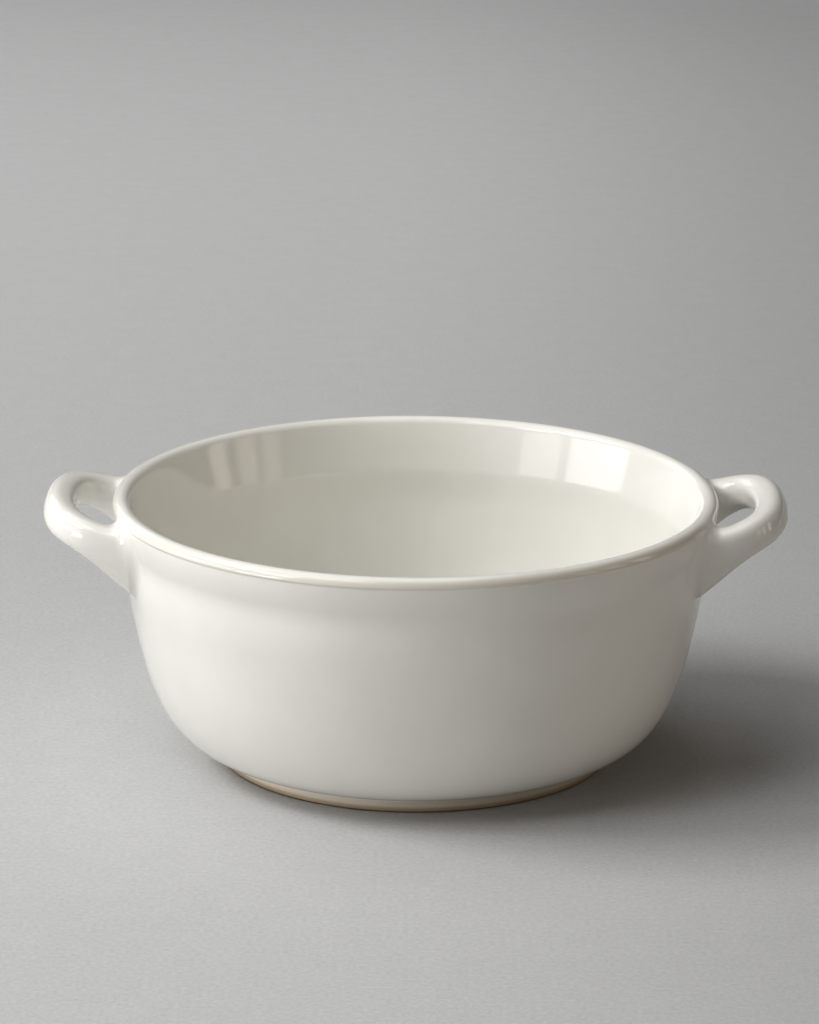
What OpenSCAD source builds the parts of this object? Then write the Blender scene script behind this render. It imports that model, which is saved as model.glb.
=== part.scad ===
// Round stoneware casserole dish, open topped: a glazed bowl whose wall bends out at a soft neck into
// a collar with a rounded lip, two upturned loop handles that are cut to the wall and set on under
// the lip, and a bare foot ring. Millimetres, +Z up. The origin is the middle of the foot's
// underside, and the handles lie along X.

/* [Bowl] */
// Diameter over the lip
rim_d = 220; // [205:1:232]
// Height from the table to the top of the lip
height = 98; // [92:1:110]
// Thickness of the rounded lip
lip_t = 6.6; // [5.6:0.2:8]
// Thickness of the wall
wall_t = 7.6; // [6.4:0.2:8.4]
// Thickness of the floor
floor_t = 6.6; // [5:0.2:9]
// Depth of the neck below the top of the lip
neck_drop = 13.6; // [12:0.4:16]
// How far the neck lies in from the lip
neck_in = 2.6; // [2:0.2:3.4]
// Lean of the upper wall away from upright, in degrees
wall_lean = 10.4; // [6:0.2:14]
// Depth of the ridge inside the mouth, below the top of the lip
mouth_drop = 19.3; // [17:0.1:22]
// Lean of the mouth above that ridge, in degrees
mouth_lean = 16.4; // [12:0.2:18]

/* [Foot ring] */
// Diameter over the foot
foot_d = 143; // [120:1:156]
// Height of the foot
foot_h = 5; // [3:0.5:8]
// Width of the ring
foot_w = 9; // [6:0.5:14]

/* [Handles] */
// Width over both handles
span = 270; // [262:1:285]
// Distance between the middles of a handle's two roots
root_gap = 65; // [56:1:74]
// Thickness of the strap, seen from above
strap_t = 11.4; // [9:0.2:13]
// Height of the strap
strap_h = 12.4; // [10:0.2:14]
// How far the middle of the tip stands above the roots
tip_rise = 8.5; // [2:0.5:12]
// Depth of the middle of the roots below the top of the lip
root_drop = 13; // [12:0.5:17]
// How far a root's tail runs down the wall, below the strap
tail = 9.8; // [4:0.2:13]
// How far a root spreads towards the other root
web = 7; // [2:0.2:9]

/* [Hidden] */
$fn = 180;
glaze = "#E9E8E0";
bare_clay = "#C3AD8B";
rim_r = rim_d / 2;
foot_r = foot_d / 2;

// A cubic curve from one point and direction to another, with the pull of each end
function span_curve(p, p_dir, p_pull, q, q_dir, q_pull) =
    [p, p + p_pull * p_dir, q - q_pull * q_dir, q];
function on_curve(c, t) =
    (1 - t) ^ 3 * c[0] + 3 * t * (1 - t) ^ 2 * c[1] + 3 * t ^ 2 * (1 - t) * c[2] + t ^ 3 * c[3];
function along(c, t) =
    let (d = (1 - t) ^ 2 * (c[1] - c[0]) + 2 * t * (1 - t) * (c[2] - c[1]) + t ^ 2 * (c[3] - c[2]))
    d / norm(d);
function samples(c, n) = [for (i = [0 : n]) on_curve(c, i / n)];
// A direction in the profile, given as the lean outwards from upright
function leaning(angle) = [sin(angle), cos(angle)];
function middle(list) = [for (i = [1 : len(list) - 2]) list[i]];
function reversed(list) = [for (i = [len(list) - 1 : -1 : 0]) list[i]];

// Outside of the bowl: foot, shoulder, the upright crown above it, the bend at the neck, the collar
// that swells up to the lip, then a narrow ledge and the crease under the lip's bead
foot_draft = 0.6;
foot_top = [foot_r - foot_draft, foot_h];
base_lean = 82;
base_pull = 23.5;
shoulder_in = 5.1;
shoulder_drop = 34;
shoulder = [rim_r - shoulder_in, height - shoulder_drop];
wall_pull = 34;
crown_in = 3.9;
crown_drop = 22;
crown = [rim_r - crown_in, height - crown_drop];
crown_pull = 4;
neck = [rim_r - neck_in, height - neck_drop];
neck_pull = 3;
bead_r = lip_t / 2;
bead = [rim_r - bead_r, height - bead_r];
function on_bead(angle) = bead + bead_r * [cos(angle), sin(angle)];
crease = on_bead(0);
ledge_in = 0.4;
ledge_drop = 0.4;
collar = crease - [ledge_in, ledge_drop];
collar_pull = 3.3;
crown_lean = 1.5;
neck_lean = 20;
collar_lean = 3;
wall_dir = leaning(wall_lean);
crown_dir = leaning(crown_lean);
neck_dir = leaning(neck_lean);
collar_dir = leaning(collar_lean);
body_curve = span_curve(foot_top, leaning(base_lean), base_pull, shoulder, wall_dir, wall_pull);
crown_curve = span_curve(shoulder, wall_dir, crown_pull, crown, crown_dir, crown_pull);
neck_curve = span_curve(crown, crown_dir, neck_pull, neck, neck_dir, neck_pull);
collar_curve = span_curve(neck, neck_dir, collar_pull, collar, collar_dir, collar_pull);
body_steps = 28;
bend_steps = 10;
outside = concat(
    samples(body_curve, body_steps),
    middle(samples(crown_curve, bend_steps)),
    samples(neck_curve, bend_steps),
    middle(samples(collar_curve, bend_steps)),
    [collar, crease]
);

// Inside of the bowl: a floor that sweeps up into the body's curve moved in by the wall, then a
// blunt ridge level with the neck, and the mouth that flares from it to the lip
inside_start = 0.12;
function inner_wall(t) =
    let (d = along(body_curve, t))
    on_curve(body_curve, t) + wall_t * [-d.y, d.x];
wall_foot = inner_wall(inside_start);
wall_head = inner_wall(1);
floor_z = foot_h + floor_t;
wall_foot_dir = along(body_curve, inside_start);
floor_corner = wall_foot.x - (wall_foot.y - floor_z) * wall_foot_dir.x / wall_foot_dir.y;
floor_r = 2 * floor_corner - wall_foot.x;
sweep_pull = (wall_foot.x - floor_corner) * 2 / 3;
floor_curve = span_curve([floor_r, floor_z], [1, 0], sweep_pull, wall_foot, wall_foot_dir, sweep_pull);
mouth_dir = leaning(mouth_lean);
mouth = on_bead(180 - mouth_lean);
ridge = mouth - (mouth.y - height + mouth_drop) / mouth_dir.y * mouth_dir;
riser_lean = 4;
riser_dir = leaning(riser_lean);
ridge_round = 1.2;
ridge_pull = ridge_round * 2 / 3;
ridge_low = ridge - ridge_round * riser_dir;
ridge_high = ridge + ridge_round * mouth_dir;
riser_pull = (ridge_low.y - wall_head.y) / 3;
riser_curve = span_curve(wall_head, wall_dir, riser_pull, ridge_low, riser_dir, riser_pull);
ridge_curve = span_curve(ridge_low, riser_dir, ridge_pull, ridge_high, mouth_dir, ridge_pull);
sweep_steps = 5;
inside_steps = 24;
inside = concat(
    samples(floor_curve, sweep_steps),
    [for (i = [1 : inside_steps - 1]) inner_wall(inside_start + (1 - inside_start) * i / inside_steps)],
    samples(riser_curve, sweep_steps),
    middle(samples(ridge_curve, sweep_steps + 1)),
    [ridge_high, mouth]
);
lip_steps = 18;
function bead_arc(from, to, n) = [for (i = [1 : n - 1]) on_bead(from + (to - from) * i / n)];

// The loop of a handle seen from above, from its near root to its tip, and the slope it lies in
strap_w = strap_t / 2;
root_y = root_gap / 2;
root_z = height - root_drop;
root_x = sqrt(neck.x ^ 2 - root_y ^ 2);
tip_x = span / 2 - (strap_t + strap_h) / 4;
reach = tip_x - root_x;
loop_fullness = 0.757;
half_loop = [
    [root_x, -root_y],
    [root_x + loop_fullness * reach, -root_y],
    [tip_x, -loop_fullness * root_y],
    [tip_x, 0]
];
tilt = atan2(tip_rise, reach);
tilt_up = [-sin(tilt), 0, cos(tilt)];
// s runs from 0 at the near root, over 1 at the tip, to 2 at the far root
function loop_point(s) =
    let (p = on_curve(half_loop, s <= 1 ? s : 2 - s))
    [p.x, s <= 1 ? p.y : -p.y, root_z + (p.x - root_x) * tan(tilt)];
function loop_dir(s) =
    let (d = along(half_loop, s <= 1 ? s : 2 - s), x = s <= 1 ? d.x : -d.x)
    let (v = [x, d.y, x * tan(tilt)])
    v / norm(v);

// The strap's oval section, which spreads into a foot at the wall and gets a rounder tail below
section_squareness = 2.5;
tail_softness = 0.6;
strap_sides = 24;
loop_steps = 44;
seat_depth = 10;
root_rise = 3.2;
root_spread = 1.6;
tail_length = 20;
tail_bend = 1.3;
web_length = 13;
web_bend = 2;
function fade(distance, length, bend) = max(0, 1 - distance / length) ^ bend;
function oval(c, squareness) = sign(c) * abs(c) ^ (2 / squareness);
function strap_ring(s, back = 0) =
    let (
        at = loop_point(s),
        ahead = loop_dir(s),
        from_wall = at.x - root_x,
        tail_fade = fade(from_wall, tail_length, tail_bend),
        web_fade = fade(from_wall, web_length, web_bend),
        up_raw = (1 - tail_fade) * tilt_up + tail_fade * [0, 0, 1],
        up = up_raw / norm(up_raw),
        out = cross(ahead, tilt_up),
        w_out = strap_w + root_spread * web_fade,
        w_in = strap_w + web * web_fade,
        h_up = strap_h / 2 + root_rise * web_fade,
        h_down = strap_h / 2 + tail * tail_fade
    )
    [for (j = [0 : strap_sides - 1])
        let (
            angle = 360 * j / strap_sides,
            squareness = section_squareness - (angle > 180 ? tail_softness * tail_fade : 0),
            c = oval(cos(angle), squareness),
            h = oval(sin(angle), squareness),
            across = c * (c > 0 ? w_out : w_in),
            upward = h * (h > 0 ? h_up : h_down)
        )
        at - [back, 0, 0] + across * out + upward * up
    ];

// A closed skin over rings of equal point counts
module skin(rings) {
    n = len(rings[0]);
    last = len(rings) - 1;
    points = [for (r = rings) each r];
    sides = [for (i = [0 : last - 1], j = [0 : n - 1])
        let (a = i * n + j, b = i * n + (j + 1) % n)
        each [[a, b, b + n], [a, b + n, a + n]]
    ];
    near_end = [for (j = [n - 1 : -1 : 0]) j];
    far_end = [for (j = [0 : n - 1]) last * n + j];
    polyhedron(points, concat(sides, [near_end, far_end]), convexity = 6);
}

// The bowl's outside as a solid, which a handle's roots are cut to fit
module bowl_blank() {
    rotate_extrude()
    polygon(concat(
        [[0, foot_h]],
        outside,
        bead_arc(0, 90, lip_steps),
        [on_bead(90), [0, height]]
    ));
}

module bowl() {
    color(glaze)
    rotate_extrude()
    polygon(concat(
        [[0, foot_h]],
        outside,
        bead_arc(0, 180 - mouth_lean, lip_steps),
        reversed(inside),
        [[0, floor_z]]
    ));
}

// Bare ring on which the dish stands, with eased edges and a sloping inner side
module foot_ring() {
    ease = 0.8;
    inner_slope = 1.5;
    ring_in = foot_r - foot_w;
    color(bare_clay)
    rotate_extrude()
    polygon([
        [ring_in + ease, 0],
        [foot_r - ease, 0],
        [foot_r - ease * (1 - sin(45)), ease * (1 - cos(45))],
        [foot_r, ease],
        foot_top,
        [ring_in - inner_slope, foot_h],
        [ring_in, ease],
        [ring_in + ease * (1 - sin(45)), ease * (1 - cos(45))]
    ]);
}

module handle() {
    color(glaze)
    difference() {
        skin(concat(
            [strap_ring(0, seat_depth)],
            [for (i = [0 : loop_steps]) strap_ring(2 * i / loop_steps)],
            [strap_ring(2, seat_depth)]
        ));
        bowl_blank();
    }
}

module handle_right() {
    handle();
}

module handle_left() {
    mirror([1, 0, 0]) handle();
}

bowl();
foot_ring();
handle_left();
handle_right();
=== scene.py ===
import math

import bpy
import numpy as np
from mathutils import Matrix, Vector
from mathutils.bvhtree import BVHTree


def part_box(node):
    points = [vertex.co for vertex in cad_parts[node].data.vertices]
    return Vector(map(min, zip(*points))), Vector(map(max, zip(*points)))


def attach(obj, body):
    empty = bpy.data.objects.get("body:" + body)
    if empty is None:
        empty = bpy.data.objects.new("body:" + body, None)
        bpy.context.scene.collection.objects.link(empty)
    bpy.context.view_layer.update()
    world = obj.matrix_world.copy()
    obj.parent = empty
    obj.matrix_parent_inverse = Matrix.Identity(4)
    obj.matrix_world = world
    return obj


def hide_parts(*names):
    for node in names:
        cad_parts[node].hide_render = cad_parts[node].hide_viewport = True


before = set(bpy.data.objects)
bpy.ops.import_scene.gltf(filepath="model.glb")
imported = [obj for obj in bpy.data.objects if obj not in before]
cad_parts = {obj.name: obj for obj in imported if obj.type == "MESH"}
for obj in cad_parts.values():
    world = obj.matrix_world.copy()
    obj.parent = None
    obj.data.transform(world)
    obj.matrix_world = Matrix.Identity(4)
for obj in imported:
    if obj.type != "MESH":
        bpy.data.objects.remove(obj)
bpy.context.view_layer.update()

MM = 0.001

# Sizes, in metres: the outer ones come from the frame, the rest are the dish's own

_, bowl_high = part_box("bowl")
_, foot_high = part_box("foot_ring")
rim_r = min(bowl_high.x, bowl_high.y)
height = bowl_high.z
foot_r = min(foot_high.x, foot_high.y)
foot_h = foot_high.z
half_span = 135 * MM

lip_t = 6.6 * MM
wall_t = 7.6 * MM
floor_t = 6.6 * MM
neck_drop, neck_in = 13.6 * MM, 2.6 * MM
crown_drop, crown_in = 22 * MM, 3.9 * MM
shoulder_drop, shoulder_in = 34 * MM, 5.1 * MM
ledge = np.array([0.4, 0.4]) * MM
edge_ease = 0.4 * MM
mouth_drop = 19.3 * MM
ridge_round = 1.2 * MM
foot_w = 9 * MM
foot_draft = 0.6 * MM
foot_ease = 0.8 * MM
foot_inner_spread = 1.5 * MM

root_gap = 65 * MM
strap_t = 11.4 * MM
strap_h = 12.4 * MM
tip_rise = 8.5 * MM
root_drop = 13 * MM
tail = 9.8 * MM
web = 7 * MM

# Leans of the profile, in degrees outwards from upright, and the pulls that shape its curves

foot_lean, wall_lean, crown_lean, neck_lean, collar_lean = 82, 10.4, 1.5, 20, 3
mouth_lean, riser_lean = 16.4, 4
foot_pull, wall_pull = 23.5 * MM, 34 * MM
crown_pull, neck_pull, collar_pull = 4 * MM, 3 * MM, 3.3 * MM

# Steps of the meshes

body_steps, crown_steps, neck_steps, collar_steps, edge_steps, lip_steps = 40, 12, 14, 16, 6, 30
sweep_steps, inner_steps, riser_steps, ridge_steps, mouth_steps = 10, 39, 12, 8, 9
foot_columns, foot_ease_steps, hollow_steps = 240, 6, 8
handle_sector, fine_step, coarse_step = 27, 0.5, 2.1
strap_sides, root_rings, arch_rings, buried_rings = 72, 25, 30, 8


# Curves of the profile

def unit(v):
    return v / np.linalg.norm(v, axis=-1, keepdims=True)


def leaning(angle):
    """Direction in the profile, as a lean outwards from upright in degrees."""
    return np.array([math.sin(math.radians(angle)), math.cos(math.radians(angle))])


def span_curve(p, p_dir, p_pull, q, q_dir, q_pull):
    """Cubic curve from p to q, leaving along p_dir and arriving along q_dir."""
    p, q = np.array(p), np.array(q)
    return np.array([p, p + p_pull * np.array(p_dir), q - q_pull * np.array(q_dir), q])


def on_curve(c, t):
    """Points of a cubic curve."""
    t = np.asarray(t)[..., None]
    near = (1 - t) ** 3 * c[0] + 3 * t * (1 - t) ** 2 * c[1]
    far = 3 * t ** 2 * (1 - t) * c[2] + t ** 3 * c[3]
    return near + far


def along(c, t):
    """Directions of a cubic curve."""
    t = np.asarray(t)[..., None]
    return unit((1 - t) ** 2 * (c[1] - c[0]) + 2 * t * (1 - t) * (c[2] - c[1]) + t ** 2 * (c[3] - c[2]))


def samples(c, steps):
    return on_curve(c, np.linspace(0, 1, steps + 1))


def soft_bend(start, corner, end, steps):
    """Points of a bend from start to end, drawn towards the corner."""
    t = np.linspace(0, 1, steps + 1)[:, None]
    return (1 - t) ** 2 * start + 2 * t * (1 - t) * corner + t ** 2 * end


# Outside of the bowl, from the foot over shoulder, crown, neck and collar to the crease under the lip

foot_top = np.array([foot_r - foot_draft, foot_h])
shoulder = np.array([rim_r - shoulder_in, height - shoulder_drop])
crown = np.array([rim_r - crown_in, height - crown_drop])
neck = np.array([rim_r - neck_in, height - neck_drop])
bead_r = lip_t / 2
bead = np.array([rim_r - bead_r, height - bead_r])


def on_bead(angle):
    """Points of the lip's round bead, by their angle in degrees up from its outermost point."""
    a = np.radians(angle)
    return bead + bead_r * np.stack([np.cos(a), np.sin(a)], -1)


crease = on_bead(0)
collar = crease - ledge
wall_dir, mouth_dir, riser_dir = leaning(wall_lean), leaning(mouth_lean), leaning(riser_lean)
crown_dir, neck_dir, collar_dir = leaning(crown_lean), leaning(neck_lean), leaning(collar_lean)
body_curve = span_curve(foot_top, leaning(foot_lean), foot_pull, shoulder, wall_dir, wall_pull)
crown_curve = span_curve(shoulder, wall_dir, crown_pull, crown, crown_dir, crown_pull)
neck_curve = span_curve(crown, crown_dir, neck_pull, neck, neck_dir, neck_pull)
collar_curve = span_curve(neck, neck_dir, collar_pull, collar, collar_dir, collar_pull)
below_neck = np.concatenate([
    samples(body_curve, body_steps)[:-1],
    samples(crown_curve, crown_steps)[:-1],
    samples(neck_curve, neck_steps)[:-1],
])
outside = np.concatenate([below_neck, samples(collar_curve, collar_steps)])
lip_angles = np.linspace(math.degrees(edge_ease / bead_r), 180 - mouth_lean, lip_steps + 1)
lip = on_bead(lip_angles)
edge = soft_bend(crease - edge_ease * unit(ledge), crease, lip[0], edge_steps)[:-1]

# Beside the handles, the wall runs up into the lip without the ledge

plain_collar = span_curve(neck, neck_dir, collar_pull, crease, leaning(0), collar_pull)
plain_outside = np.concatenate([below_neck, samples(plain_collar, collar_steps)])
plain_edge = on_bead(np.linspace(0, lip_angles[0], len(edge) + 2)[1:-1])

# Inside of the bowl: floor, wall, the blunt ridge level with the neck, and the mouth above it

inside_start = 0.12


def inner_wall(t):
    """Points a wall's thickness in from the body curve."""
    d = along(body_curve, t)
    return on_curve(body_curve, t) + wall_t * np.stack([-d[..., 1], d[..., 0]], -1)


wall_foot = inner_wall(inside_start)
wall_foot_dir = along(body_curve, inside_start)
wall_head = inner_wall(1.0)
floor_z = foot_h + floor_t
floor_corner = wall_foot[0] - (wall_foot[1] - floor_z) * wall_foot_dir[0] / wall_foot_dir[1]
sweep_pull = (wall_foot[0] - floor_corner) * 2 / 3
floor_r = 2 * floor_corner - wall_foot[0]
floor_curve = span_curve((floor_r, floor_z), (1, 0), sweep_pull, wall_foot, wall_foot_dir, sweep_pull)
mouth = lip[-1]
ridge = mouth - (mouth[1] - height + mouth_drop) / mouth_dir[1] * mouth_dir
ridge_pull = ridge_round * 2 / 3
ridge_low = ridge - ridge_round * riser_dir
ridge_high = ridge + ridge_round * mouth_dir
riser_pull = (ridge_low[1] - wall_head[1]) / 3
riser_curve = span_curve(wall_head, wall_dir, riser_pull, ridge_low, riser_dir, riser_pull)
ridge_curve = span_curve(ridge_low, riser_dir, ridge_pull, ridge_high, mouth_dir, ridge_pull)
inside = np.concatenate([
    samples(floor_curve, sweep_steps)[:-1],
    inner_wall(np.linspace(inside_start, 1, inner_steps + 1))[:-1],
    samples(riser_curve, riser_steps)[:-1],
    samples(ridge_curve, ridge_steps)[:-1],
    np.linspace(ridge_high, mouth, mouth_steps + 1)[:-1],
])


# Meshes

def mesh_object(name, points, faces, thin_and_shade=None):
    """Smooth-shaded object; its mask gives each point, from 0 to 1, how much it takes the tint of thin
    glaze, which round the bowl's rim also carries painted shade.
    """
    mesh = bpy.data.meshes.new(name)
    mesh.from_pydata([tuple(p) for p in points], [], faces)
    mesh.polygons.foreach_set("use_smooth", [True] * len(mesh.polygons))
    if thin_and_shade is not None:
        layer = mesh.attributes.new("glaze_thin_and_shade", "FLOAT", "POINT")
        layer.data.foreach_set("value", np.asarray(thin_and_shade, dtype=np.float32))
    mesh.validate()
    mesh.update()
    obj = bpy.data.objects.new(name, mesh)
    bpy.context.scene.collection.objects.link(obj)
    return obj


def grid_faces(rows, columns, close_rows=False):
    """Quads over a grid of points, whose columns close into a ring."""
    faces = []
    for i in range(rows if close_rows else rows - 1):
        a, b = i * columns, (i + 1) % rows * columns
        for j in range(columns):
            k = (j + 1) % columns
            faces.append((a + j, a + k, b + k, b + j))
    return faces


def turned(profile, angles):
    """Points of a profile of (radius, height) turned about Z, row by row."""
    r, z = profile[:, :1], np.repeat(profile[:, 1:], len(angles), axis=1)
    return np.stack([r * np.cos(angles), r * np.sin(angles), z], -1)


# Handles: a strap swept along a loop, that spreads into a web and a tail at the wall

root_y = root_gap / 2
root_z = height - root_drop
root_x = math.sqrt(neck[0] ** 2 - root_y ** 2)
tip_x = half_span - (strap_t + strap_h) / 4
reach = tip_x - root_x
loop_fullness = 0.757
half_loop = np.array([
    [root_x, -root_y],
    [root_x + loop_fullness * reach, -root_y],
    [tip_x, -loop_fullness * root_y],
    [tip_x, 0.0],
])
tilt = math.atan2(tip_rise, reach)
tilt_up = np.array([-math.sin(tilt), 0, math.cos(tilt)])
section_squareness = 2.5
tail_softness = 0.6
root_rise = 3.2 * MM
root_spread = 1.6 * MM
tail_length, tail_bend = 20 * MM, 1.8
web_length, web_bend = 13 * MM, 2
root_zone = 12 * MM
seat_depth, seat_end = 4 * MM, 0.5 * MM
buried_depth = 2 * MM
skin_inset = 0.06 * MM
loop_samples = 2000


def fade(distance, length, bend):
    return np.maximum(0, 1 - distance / length) ** bend


def oval(c, squareness):
    return np.sign(c) * np.abs(c) ** (2 / squareness)


def loop_stations():
    """Places round the loop, close together near the wall, and how far each sits back in it."""
    even = np.linspace(0, 1, loop_samples)
    from_wall = on_curve(half_loop, even)[:, 0] - root_x
    near = np.interp(np.linspace(0, root_zone, root_rings), from_wall, even)
    half = np.concatenate([near, np.linspace(near[-1], 1, arch_rings + 1)[1:]])
    back = np.linspace(seat_depth, seat_end, buried_rings)
    stations = np.concatenate([np.zeros(len(back)), half, 2 - half[-2::-1], np.full(len(back), 2.0)])
    return stations, np.concatenate([back, np.zeros(2 * len(half) - 1), back[::-1]])


def strap_points():
    """Rings of points on the right handle's strap, from its near root round to its far root."""
    s, back = loop_stations()
    fold, sign = np.where(s <= 1, s, 2 - s), np.where(s <= 1, 1.0, -1.0)
    p, d = on_curve(half_loop, fold), along(half_loop, fold)
    slope = math.tan(tilt)
    at = np.stack([p[:, 0] - back, sign * p[:, 1], root_z + (p[:, 0] - root_x) * slope], -1)
    ahead = unit(np.stack([sign * d[:, 0], d[:, 1], sign * d[:, 0] * slope], -1))
    from_wall = p[:, :1] - root_x
    tail_fade = fade(from_wall, tail_length, tail_bend)
    web_fade = fade(from_wall, web_length, web_bend)
    up = unit((1 - tail_fade) * tilt_up + tail_fade * np.array([0, 0, 1.0]))
    out = np.cross(ahead, tilt_up)
    angle = np.linspace(0, 2 * math.pi, strap_sides, endpoint=False)
    squareness = section_squareness - np.where(angle > math.pi, tail_softness * tail_fade, 0)
    c, h = oval(np.cos(angle), squareness), oval(np.sin(angle), squareness)
    across = c * (strap_t / 2 - skin_inset + np.where(c > 0, root_spread, web) * web_fade)
    lift = np.where(h > 0, root_rise * web_fade, tail * tail_fade)
    upward = h * (strap_h / 2 - skin_inset + lift)
    return at[:, None] + across[..., None] * out[:, None] + upward[..., None] * up[:, None]


strap_rings = strap_points()
strap_flat = strap_rings.reshape(-1, 3)
strap_faces = [face[::-1] for face in grid_faces(len(strap_rings), strap_sides)]
strap_tree = BVHTree.FromPolygons([Vector(p) for p in strap_flat], strap_faces)

# Where a handle meets the wall, the clay of both runs together in a soft hollow

wall_line = np.concatenate([plain_outside, plain_edge, on_bead(lip_angles[lip_angles < 90])])
wall_tangent = unit(np.gradient(wall_line, axis=0))
wall_normal = np.stack([wall_tangent[:, 1], -wall_tangent[:, 0]], -1)
least_softness, more_softness = 2.2 * MM, 2.8 * MM
softness_low_drop, softness_rise = 30 * MM, 18 * MM
hollow_rounds = 4
overlap = 0.3
sink = 0.06 * MM
touch = 1e-6
tiny = 1e-9


def joint_softness(z):
    """Width of the soft hollow: slight at the tail, broad under the lip."""
    rise = np.clip((z - (height - softness_low_drop)) / softness_rise, 0, 1)
    return least_softness + more_softness * rise * rise * (3 - 2 * rise)


def wall_distance(points):
    """Signed distance of points from the bowl's outside, and the direction straight off it."""
    r = np.hypot(points[:, 0], points[:, 1])
    flat = np.stack([r, points[:, 2]], -1)
    start, step = wall_line[:-1], np.diff(wall_line, axis=0)
    t = np.clip(((flat[:, None] - start) * step).sum(-1) / (step ** 2).sum(-1), 0, 1)
    gap = flat[:, None] - (start + t[..., None] * step)
    nearest = np.argmin((gap ** 2).sum(-1), axis=1)
    rows = np.arange(len(flat))
    t, gap = t[rows, nearest][:, None], gap[rows, nearest]
    normal = unit((1 - t) * wall_normal[nearest] + t * wall_normal[nearest + 1])
    distance = np.copysign(np.linalg.norm(gap, axis=1), (gap * normal).sum(-1))
    turn = points[:, :2] / r[:, None]
    return distance, np.concatenate([normal[:, :1] * turn, normal[:, 1:]], -1)


def strap_distance(points):
    """Signed distance of points from the right handle's strap, and the direction straight off it."""
    found = [strap_tree.find_nearest(Vector(p)) for p in points]
    gap = points - np.array([f[0] for f in found])
    normal = np.array([f[1] for f in found])
    length = np.linalg.norm(gap, axis=1)
    side = np.where((gap * normal).sum(-1) >= 0, 1.0, -1.0)
    straight_off = side[:, None] * gap / np.maximum(length, tiny)[:, None]
    return side * length, np.where((length < touch)[:, None], normal, straight_off)


def run_together(points):
    """Points moved on to the surface in which wall and strap run into each other."""
    points = points.copy()
    for _ in range(hollow_rounds):
        to_wall, off_wall = wall_distance(points)
        to_strap, off_strap = strap_distance(points)
        soft = joint_softness(points[:, 2])
        mixed = np.clip(1 - np.abs(to_strap - to_wall) / soft, 0, 1)
        level = np.minimum(to_wall, to_strap) - soft * mixed ** 2 / 4
        share = np.where(to_strap < to_wall, 1 - mixed / 2, mixed / 2)[:, None]
        slope = share * off_strap + (1 - share) * off_wall
        points -= level[:, None] * slope / (slope ** 2).sum(-1, keepdims=True)
    return points, unit(slope)


def soften_joint(points, other):
    """Softens the points that are near the other surface; those hidden well inside it stay."""
    points = points.copy()
    soft = joint_softness(points[:, 2])
    near = (other < soft) & (other > -overlap * soft)
    moved, off = run_together(points[near])
    hidden = np.clip(-other[near] / (overlap * soft[near]), 0, 1)
    points[near] = moved - (sink * hidden)[:, None] * off
    return points


def make_handle(name, side):
    """Handle on one side, whose closed ends are buried in the wall."""
    points = soften_joint(strap_flat, wall_distance(strap_flat)[0])
    r = np.hypot(points[:, 0], points[:, 1])
    r_least = np.interp(points[:, 2], wall_line[:, 1], wall_line[:, 0]) - buried_depth
    points[:, :2] *= np.maximum(1, r_least / r)[:, None]
    near_end, far_end = range(strap_sides), range(len(points) - strap_sides, len(points))
    faces = strap_faces + [tuple(near_end), tuple(reversed(far_end))]
    if side < 0:
        faces = [face[::-1] for face in faces]
    return mesh_object(name, points * np.array([side, 1, 1]), faces, np.zeros(len(points)))


# Bowl and foot: rows across the flat middles, in shares of their radius, and the hollow over the foot

hub_r = 1 * MM
bottom_middle, floor_middle = 0.7, 0.5
hollow_low_share, hollow_high_share = 0.42, 0.032

# Thin glaze, by degrees up the lip's bead, with painted shade round the rim that deepens its tint on the
# shadowed front right, and the wall that changes beside a handle

thin_top, thin_fade = 65, 25
shaded_rim_angle, tint_evenness = -50, 0.6
beside_y, beside_z = 50 * MM, 58 * MM
plain_reach, plain_fade = 12 * MM, 7 * MM
thin_gap = 8 * MM


def make_bowl():
    """Bowl, with finer columns at the handles; its glaze is thin along the lip's lower edge, and that tint
    is painted deeper as shade on the rim's shadowed front right.
    """
    fine = np.arange(-handle_sector, handle_sector, fine_step)
    coarse = np.arange(handle_sector, 180 - handle_sector, coarse_step)
    angles = np.radians(np.concatenate([fine, coarse, fine + 180, coarse + 180]))
    bottom = np.array([[hub_r, foot_h], [bottom_middle * foot_r, foot_h]])
    floor = np.array([[floor_middle * floor_r, floor_z], [hub_r, floor_z]])
    profile = np.concatenate([bottom, outside, edge, lip, inside[::-1], floor])
    plain_profile = np.concatenate([bottom, plain_outside, plain_edge, lip, inside[::-1], floor])
    points, plain = turned(profile, angles), turned(plain_profile, angles)

    first = len(bottom)
    edge_row, lip_row = first + len(outside), first + len(outside) + len(edge)
    thin_and_shade = np.zeros(len(profile))
    thin_and_shade[edge_row:lip_row] = 1.0
    thin_and_shade[lip_row:lip_row + len(lip)] = np.clip((thin_top - lip_angles) / thin_fade, 0, 1)
    # Painted shade round the rim: the thin edge's tint is deepest on the shadowed front right and faintest
    # on the lit back left.
    rim_painted_shade = np.cos(angles - math.radians(shaded_rim_angle))
    thin_and_shade = thin_and_shade[:, None] * (tint_evenness + (1 - tint_evenness) * rim_painted_shade)

    outer = np.zeros(points.shape[:2], dtype=bool)
    outer[first:first + len(wall_line)] = True
    beside = outer & (np.abs(points[..., 1]) < beside_y) & (points[..., 2] > beside_z)
    side = np.sign(points[beside][:, :1])
    flip = np.concatenate([side, np.ones((len(side), 2))], 1)
    ledged, plain = points[beside] * flip, plain[beside] * flip
    to_strap = strap_distance(plain)[0]
    plainness = np.clip((plain_reach - to_strap) / plain_fade, 0, 1)[:, None]
    points[beside] = soften_joint(ledged + plainness * (plain - ledged), to_strap) * flip
    thin_and_shade[beside] *= np.clip(to_strap / thin_gap, 0, 1)

    columns = len(angles)
    faces = grid_faces(len(profile), columns)
    top, low_hub = (len(profile) - 1) * columns, len(profile) * columns
    for j in range(columns):
        k = (j + 1) % columns
        faces += [(k, j, low_hub), (top + j, top + k, low_hub + 1)]
    points = np.concatenate([points.reshape(-1, 3), [(0, 0, foot_h), (0, 0, floor_z)]])
    return mesh_object("glazed_bowl", points, faces, np.append(thin_and_shade, [0, 0]))


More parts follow.
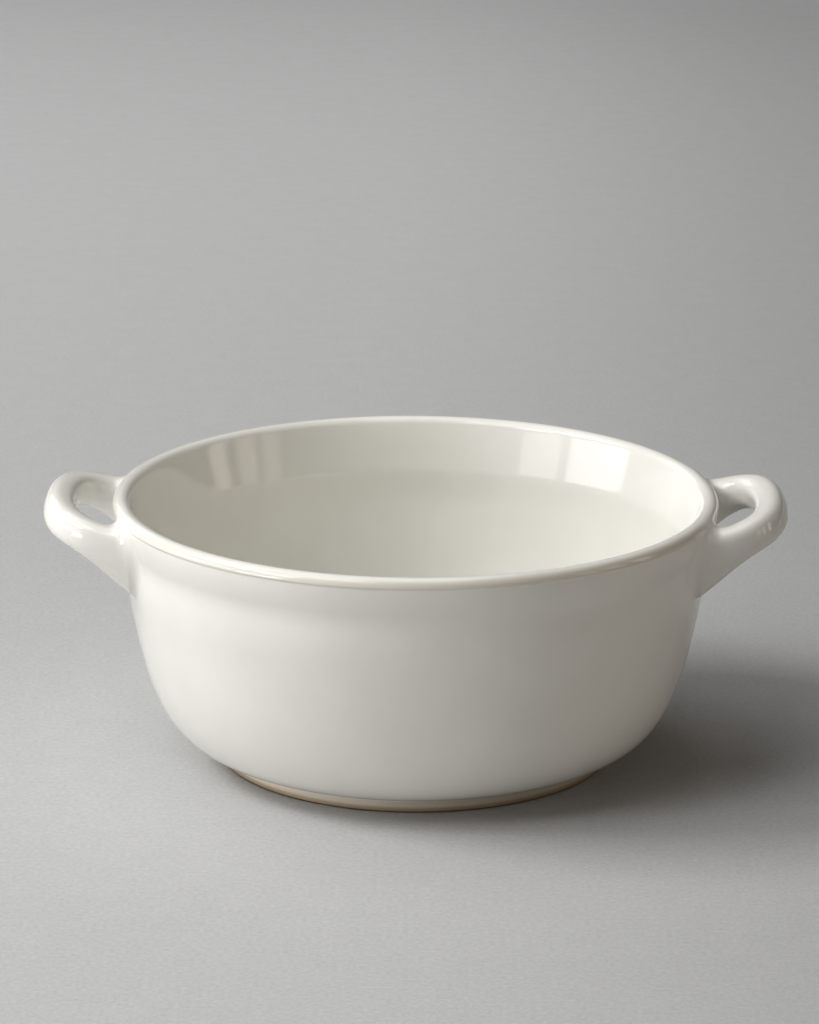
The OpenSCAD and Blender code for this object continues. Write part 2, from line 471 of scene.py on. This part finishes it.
def make_foot():
    """Foot ring with eased edges, which runs up into the bowl in a soft hollow."""
    ring_in = foot_r - foot_w
    turn = np.radians(np.linspace(0, 90, foot_ease_steps + 1))
    sideways, upward = foot_ease * np.sin(turn), foot_ease - foot_ease * np.cos(turn)
    outer_edge = np.stack([foot_r - foot_ease + sideways, upward], -1)
    inner_edge = np.stack([ring_in + foot_ease - sideways, upward], -1)
    hollow_low = foot_top + (outer_edge[-1] - foot_top) * hollow_low_share
    hollow = soft_bend(hollow_low, foot_top, on_curve(body_curve, hollow_high_share), hollow_steps)
    inner_top = (ring_in - foot_inner_spread, foot_h)
    profile = np.concatenate([outer_edge, hollow, [inner_top], inner_edge[::-1]])
    angles = np.linspace(0, 2 * math.pi, foot_columns, endpoint=False)
    faces = grid_faces(len(profile), len(angles), close_rows=True)
    return mesh_object("bare_foot_ring", turned(profile, angles).reshape(-1, 3), faces)


# Nodes of the materials

def node_material(name):
    mat = bpy.data.materials.new(name)
    mat.use_nodes = True
    nodes = mat.node_tree.nodes
    return mat, nodes, mat.node_tree.links, nodes["Principled BSDF"]


def position(nodes, links):
    """Place in the scene, whole and split into X, Y and Z."""
    place = nodes.new("ShaderNodeNewGeometry").outputs["Position"]
    split = nodes.new("ShaderNodeSeparateXYZ")
    links.new(place, split.inputs["Vector"])
    return place, split.outputs["X"], split.outputs["Y"], split.outputs["Z"]


def noise(nodes, links, coords, scale, detail):
    tex = nodes.new("ShaderNodeTexNoise")
    tex.inputs["Scale"].default_value = scale
    tex.inputs["Detail"].default_value = detail
    links.new(coords, tex.inputs["Vector"])
    return tex.outputs["Fac"]


def ramp(nodes, links, value, stops):
    node = nodes.new("ShaderNodeValToRGB")
    while len(node.color_ramp.elements) < len(stops):
        node.color_ramp.elements.new(0.5)
    for element, (where, color) in zip(node.color_ramp.elements, stops):
        element.position = where
        element.color = (*color, 1.0)
    links.new(value, node.inputs["Fac"])
    return node.outputs["Color"]


def remap(nodes, links, value, low, high, end=1.0):
    """Straight change from low to high, as the value goes from 0 to end."""
    node = nodes.new("ShaderNodeMapRange")
    for name, number in (("From Max", end), ("To Min", low), ("To Max", high)):
        node.inputs[name].default_value = number
    links.new(value, node.inputs["Value"])
    return node.outputs["Result"]


def slope_tone(nodes, links, value, start, end, low, high):
    """Smooth change from low to high, as the value goes from start to end."""
    node = nodes.new("ShaderNodeMapRange")
    node.interpolation_type = "SMOOTHSTEP"
    for name, number in (("From Min", start), ("From Max", end), ("To Min", low), ("To Max", high)):
        node.inputs[name].default_value = number
    links.new(value, node.inputs["Value"])
    return node.outputs["Result"]


def mix_color(nodes, links, factor, color, other):
    """Colour that goes over into the other, fixed one."""
    node = nodes.new("ShaderNodeMix")
    node.data_type = "RGBA"
    color_a, color_b, result = node.inputs[6], node.inputs[7], node.outputs[2]
    links.new(factor, node.inputs["Factor"])
    links.new(color, color_a)
    color_b.default_value = (*other, 1.0)
    return result


def times(nodes, links, color, factor):
    node = nodes.new("ShaderNodeVectorMath")
    node.operation = "SCALE"
    links.new(color, node.inputs["Vector"])
    links.new(factor, node.inputs["Scale"])
    return node.outputs["Vector"]


def math_node(nodes, links, operation, a, b):
    node = nodes.new("ShaderNodeMath")
    node.operation = operation
    links.new(a, node.inputs[0])
    links.new(b, node.inputs[1])
    return node.outputs["Value"]


def bump(nodes, links, height_value, depth, under=None):
    node = nodes.new("ShaderNodeBump")
    node.inputs["Strength"].default_value = 1.0
    node.inputs["Distance"].default_value = depth
    links.new(height_value, node.inputs["Height"])
    if under is not None:
        links.new(under, node.inputs["Normal"])
    return node.outputs["Normal"]


def choose_shader(nodes, links, factor, usual, other, output):
    """Sends the other shader instead of the usual one to the output, where the factor is 1."""
    chosen = nodes.new("ShaderNodeMixShader")
    links.new(factor, chosen.inputs["Fac"])
    links.new(usual, chosen.inputs[1])
    links.new(other, chosen.inputs[2])
    links.new(chosen.outputs["Shader"], nodes[output].inputs["Surface"])


# Materials

GLAZE_CREAM, GLAZE_PALE = (0.785, 0.772, 0.715), (0.825, 0.815, 0.76)
GLAZE_THIN_AND_SHADE = (0.68, 0.61, 0.50)
GLAZE_IOR = 1.52
# Clay up the foot, from the ground: the near-black lowest stops are a painted contact shadow; the tan and
# cream above are the clay's own.
CLAY_TONES_AND_CONTACT_SHADOW = [
    (0.0, (0.05, 0.035, 0.02)),
    (0.09, (0.10, 0.07, 0.04)),
    (0.17, (0.38, 0.28, 0.17)),
    (0.32, (0.50, 0.39, 0.26)),
    (0.48, (0.76, 0.68, 0.57)),
    (1.0, (0.82, 0.78, 0.70)),
]
CLAY_GRAIN = (0.36, 0.28, 0.19)
PAPER_DARK, PAPER_PALE, PAPER_EVEN = (0.447,) * 3, (0.533,) * 3, (0.49,) * 3
PAPER_SPECULAR = 0.2
BACKDROP = (0.4, 0.4, 0.4, 1.0)
ROOM = (0.01, 0.01, 0.01, 1.0)


def glaze_material():
    """Glossy off-white glaze: faint mottling, warmer and darker where thin, a soft waviness in its shine;
    round the rim that thin tint is also painted shade, deepest on the shadowed front right.
    """
    mat, nodes, links, shader = node_material("white_glaze")
    place = nodes.new("ShaderNodeNewGeometry").outputs["Position"]
    clouds = noise(nodes, links, place, scale=28, detail=3)
    mottle = ramp(nodes, links, clouds, [(0.3, GLAZE_CREAM), (0.7, GLAZE_PALE)])
    thin_and_shade = nodes.new("ShaderNodeAttribute")
    thin_and_shade.attribute_name = "glaze_thin_and_shade"
    thinness_and_shade = remap(nodes, links, thin_and_shade.outputs["Fac"], low=0, high=0.55)
    color = mix_color(nodes, links, thinness_and_shade, mottle, GLAZE_THIN_AND_SHADE)
    links.new(color, shader.inputs["Base Color"])
    haze = noise(nodes, links, place, scale=60, detail=2)
    links.new(remap(nodes, links, haze, low=0.06, high=0.12), shader.inputs["Roughness"])
    swell = noise(nodes, links, place, scale=45, detail=1)
    waves = bump(nodes, links, swell, depth=0.12 * MM)
    pores = noise(nodes, links, place, scale=700, detail=1)
    links.new(bump(nodes, links, pores, depth=0.006 * MM, under=waves), shader.inputs["Normal"])
    shader.inputs["IOR"].default_value = GLAZE_IOR
    return mat


def clay_material():
    """Bare stoneware with turning lines, paler where wiped; near-black at the ground as a painted contact
    shadow, and darker to the right as painted shade.
    """
    mat, nodes, links, shader = node_material("bare_clay")
    place, x, _, z = position(nodes, links)
    tone = ramp(nodes, links, remap(nodes, links, z, low=0, high=1, end=foot_h), CLAY_TONES_AND_CONTACT_SHADOW)
    grain = noise(nodes, links, place, scale=900, detail=4)
    color = mix_color(nodes, links, remap(nodes, links, grain, low=0.0, high=0.18), tone, CLAY_GRAIN)
    # Painted shade: the clay darkens towards the right, where the foot stands in shadow.
    painted_shade_right = slope_tone(nodes, links, x, start=-0.06, end=0.06, low=1.06, high=0.62)
    links.new(times(nodes, links, color, painted_shade_right), shader.inputs["Base Color"])
    links.new(remap(nodes, links, grain, low=0.7, high=0.9), shader.inputs["Roughness"])
    rings = nodes.new("ShaderNodeTexWave")
    rings.bands_direction = "Z"
    rings.inputs["Scale"].default_value = 420
    rings.inputs["Distortion"].default_value = 1.5
    links.new(place, rings.inputs["Vector"])
    lines = bump(nodes, links, rings.outputs["Fac"], depth=0.05 * MM)
    links.new(bump(nodes, links, grain, depth=0.08 * MM, under=lines), shader.inputs["Normal"])
    return mat


def distance_away(nodes, links, place, sideways):
    """Distance from the middle, with X stretched, so that the floor ends sooner at the sides."""
    stretched = nodes.new("ShaderNodeVectorMath")
    stretched.operation = "MULTIPLY"
    stretched.inputs[1].default_value = (sideways, 1.0, 1.0)
    links.new(place, stretched.inputs[0])
    away = nodes.new("ShaderNodeVectorMath")
    away.operation = "LENGTH"
    links.new(stretched.outputs["Vector"], away.inputs[0])
    return away.outputs["Value"]


def floor_material():
    """Plain grey paper with a soft tooth, which runs out into an even pale backdrop; its paleness far back
    and its darkening to the right are painted light and shade.
    """
    mat, nodes, links, shader = node_material("studio_floor")
    place, x, y, _ = position(nodes, links)
    tooth = noise(nodes, links, place, scale=560, detail=2)
    cloud = noise(nodes, links, place, scale=90, detail=3)
    paper = ramp(nodes, links, tooth, [(0.25, PAPER_DARK), (0.75, PAPER_PALE)])
    smoother = slope_tone(nodes, links, y, start=-0.1, end=0.9, low=0.0, high=0.65)
    paper = mix_color(nodes, links, smoother, paper, PAPER_EVEN)
    # Painted light and shade: the paper is made paler far back and darker to the right, as the light falls;
    # the cloud is the paper's own uneven tone.
    for tone in (
        remap(nodes, links, cloud, low=0.96, high=1.04),
        slope_tone(nodes, links, y, start=0.2, end=1.5, low=1.0, high=1.7),
        slope_tone(nodes, links, x, start=-0.03, end=0.30, low=1.02, high=0.80),
    ):
        paper = times(nodes, links, paper, tone)
    links.new(paper, shader.inputs["Base Color"])
    links.new(remap(nodes, links, tooth, low=0.8, high=0.95), shader.inputs["Roughness"])
    links.new(bump(nodes, links, tooth, depth=0.05 * MM), shader.inputs["Normal"])
    shader.inputs["Specular IOR Level"].default_value = PAPER_SPECULAR
    rays = nodes.new("ShaderNodeLightPath").outputs
    seen = math_node(nodes, links, "MAXIMUM", rays["Is Camera Ray"], rays["Is Glossy Ray"])
    away = distance_away(nodes, links, place, sideways=1.6)
    far = slope_tone(nodes, links, away, start=1.45, end=2.1, low=0.0, high=1.0)
    backdrop = nodes.new("ShaderNodeEmission")
    backdrop.inputs["Color"].default_value = BACKDROP
    far_seen = math_node(nodes, links, "MULTIPLY", far, seen)
    usual, pale = shader.outputs["BSDF"], backdrop.outputs["Emission"]
    choose_shader(nodes, links, far_seen, usual, pale, "Material Output")
    return mat


# The dish

glaze, clay = glaze_material(), clay_material()
PIECES = [
    (make_bowl(), "bowl", "white_glaze", glaze),
    (make_foot(), "foot_ring", "bare_clay", clay),
    (make_handle("loop_handle_left", -1), "handle_left", "white_glaze", glaze),
    (make_handle("loop_handle_right", 1), "handle_right", "white_glaze", glaze),
]
for piece, node, slot, material in PIECES:
    piece.data.materials.append(material)
    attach(piece, "root")
    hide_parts(node)


# Floor, light and camera

def make_floor():
    half = 6.0
    corners = [(-half, -half, 0), (half, -half, 0), (half, half, 0), (-half, half, 0)]
    floor = mesh_object("studio_floor", corners, [(0, 1, 2, 3)])
    floor.data.materials.append(floor_material())


def make_panel(name, middle, look_at, size, radiance, tint=(1.0, 1.0, 1.0), mirrored=True):
    """Rectangular soft light of a given brightness, facing a point; a fill isn't mirrored in the glaze."""
    lamp = bpy.data.lights.new(name, "AREA")
    lamp.shape = "RECTANGLE"
    lamp.size, lamp.size_y = size
    lamp.energy = radiance * math.pi * size[0] * size[1]
    lamp.color = tint
    obj = bpy.data.objects.new(name, lamp)
    bpy.context.scene.collection.objects.link(obj)
    facing = Vector(look_at) - Vector(middle)
    turn = facing.to_track_quat("-Z", "Y").to_matrix().to_4x4()
    obj.matrix_world = Matrix.Translation(middle) @ turn
    obj.visible_camera = False
    obj.visible_glossy = mirrored


def make_window(name, x, y, z, radiance):
    """Pane of the tall window on the left, given by its distance, its reach along Y and in height."""
    mid_y, mid_z = (y[0] + y[1]) / 2, (z[0] + z[1]) / 2
    make_panel(name, (x, mid_y, mid_z), (0, mid_y, mid_z), (y[1] - y[0], z[1] - z[0]), radiance)


def make_lights():
    """Window on the left in panes, a pale ceiling, weak fills in front and panes far to the right."""
    near_x, near_y = -1.04, (-0.92, -0.46)
    make_window("window_near_low", near_x, near_y, z=(0.01, 0.20), radiance=12.2)
    make_window("window_near_mid", near_x, y=(-0.98, -0.47), z=(0.27, 0.53), radiance=2.2)
    make_window("window_near_high", near_x, near_y, z=(0.78, 1.30), radiance=6.8)
    make_window("window_far_low", x=-1.6, y=(-0.60, 0.28), z=(0.17, 0.54), radiance=3.8)
    make_window("window_far_high", x=-1.28, y=(-0.39, 0.37), z=(0.96, 1.60), radiance=16.0)
    make_panel("window_behind", (-1.4, 1.8, 0.9), (0, 0, 0.05), size=(1.2, 1.2), radiance=1.1)
    make_panel("ceiling_near", (-0.58, -0.58, 1.3), (-0.58, -0.58, 0), size=(0.58, 0.58), radiance=3.8)
    make_panel("ceiling", (-0.54, 0.36, 2.0), (-0.54, 0.36, 0), size=(1.8, 1.8), radiance=1.38)
    make_panel("front_fill", (0, -1.56, 0.2), (0, 0, 0.03), size=(1.04, 0.33), radiance=0.4, mirrored=False)
    amber, rose = (1.0, 0.86, 0.62), (1.0, 0.86, 0.76)
    fill_place, fill_size = (1.5, -1.6, 0.6), (1.2, 0.9)
    make_panel("front_right_fill", fill_place, (0, 0, 0.05), fill_size, 0.72, amber, mirrored=False)
    pane_size = (0.3, 0.8)
    for y, radiance in ((-0.88, 1.4), (-0.43, 1.6), (0.06, 2.1)):
        make_panel("right_pane", (1.9, y, 0.5), (0, y, 0.05), pane_size, radiance, rose)


def make_world():
    """Dim room, seen by the camera as an even pale backdrop."""
    world = bpy.data.worlds.new("studio")
    world.use_nodes = True
    nodes, links = world.node_tree.nodes, world.node_tree.links
    room = nodes["Background"]
    room.inputs["Color"].default_value = ROOM
    backdrop = nodes.new("ShaderNodeBackground")
    backdrop.inputs["Color"].default_value = BACKDROP
    seen = nodes.new("ShaderNodeLightPath").outputs["Is Camera Ray"]
    usual, pale = room.outputs["Background"], backdrop.outputs["Background"]
    choose_shader(nodes, links, seen, usual, pale, "World Output")
    bpy.context.scene.world = world


def make_camera():
    """Camera of the photograph: 16.2 degrees down, far off, with a long lens."""
    photo_h, focal_px, sensor_mm = 1024, 5000, 36.0
    eye = (0, -1.74527, 0.59729)
    yaw, pitch, roll = -0.0013, 0.2826, -0.0045
    flat = math.cos(pitch)
    forward = Vector((math.sin(yaw) * flat, math.cos(yaw) * flat, -math.sin(pitch)))
    level = Vector((math.cos(yaw), -math.sin(yaw), 0))
    down = forward.cross(level)
    right = math.cos(roll) * level + math.sin(roll) * down
    up = math.sin(roll) * level - math.cos(roll) * down
    data = bpy.data.cameras.new("photo_camera")
    data.sensor_width = sensor_mm
    data.lens = focal_px * sensor_mm / photo_h
    camera = bpy.data.objects.new("photo_camera", data)
    turn = Matrix((right, up, -forward)).transposed().to_4x4()
    camera.matrix_world = Matrix.Translation(eye) @ turn
    bpy.context.scene.collection.objects.link(camera)
    bpy.context.scene.camera = camera


make_floor()
make_lights()
make_world()
make_camera()
bpy.context.scene.view_settings.view_transform = "Standard"

bpy.context.view_layer.update()
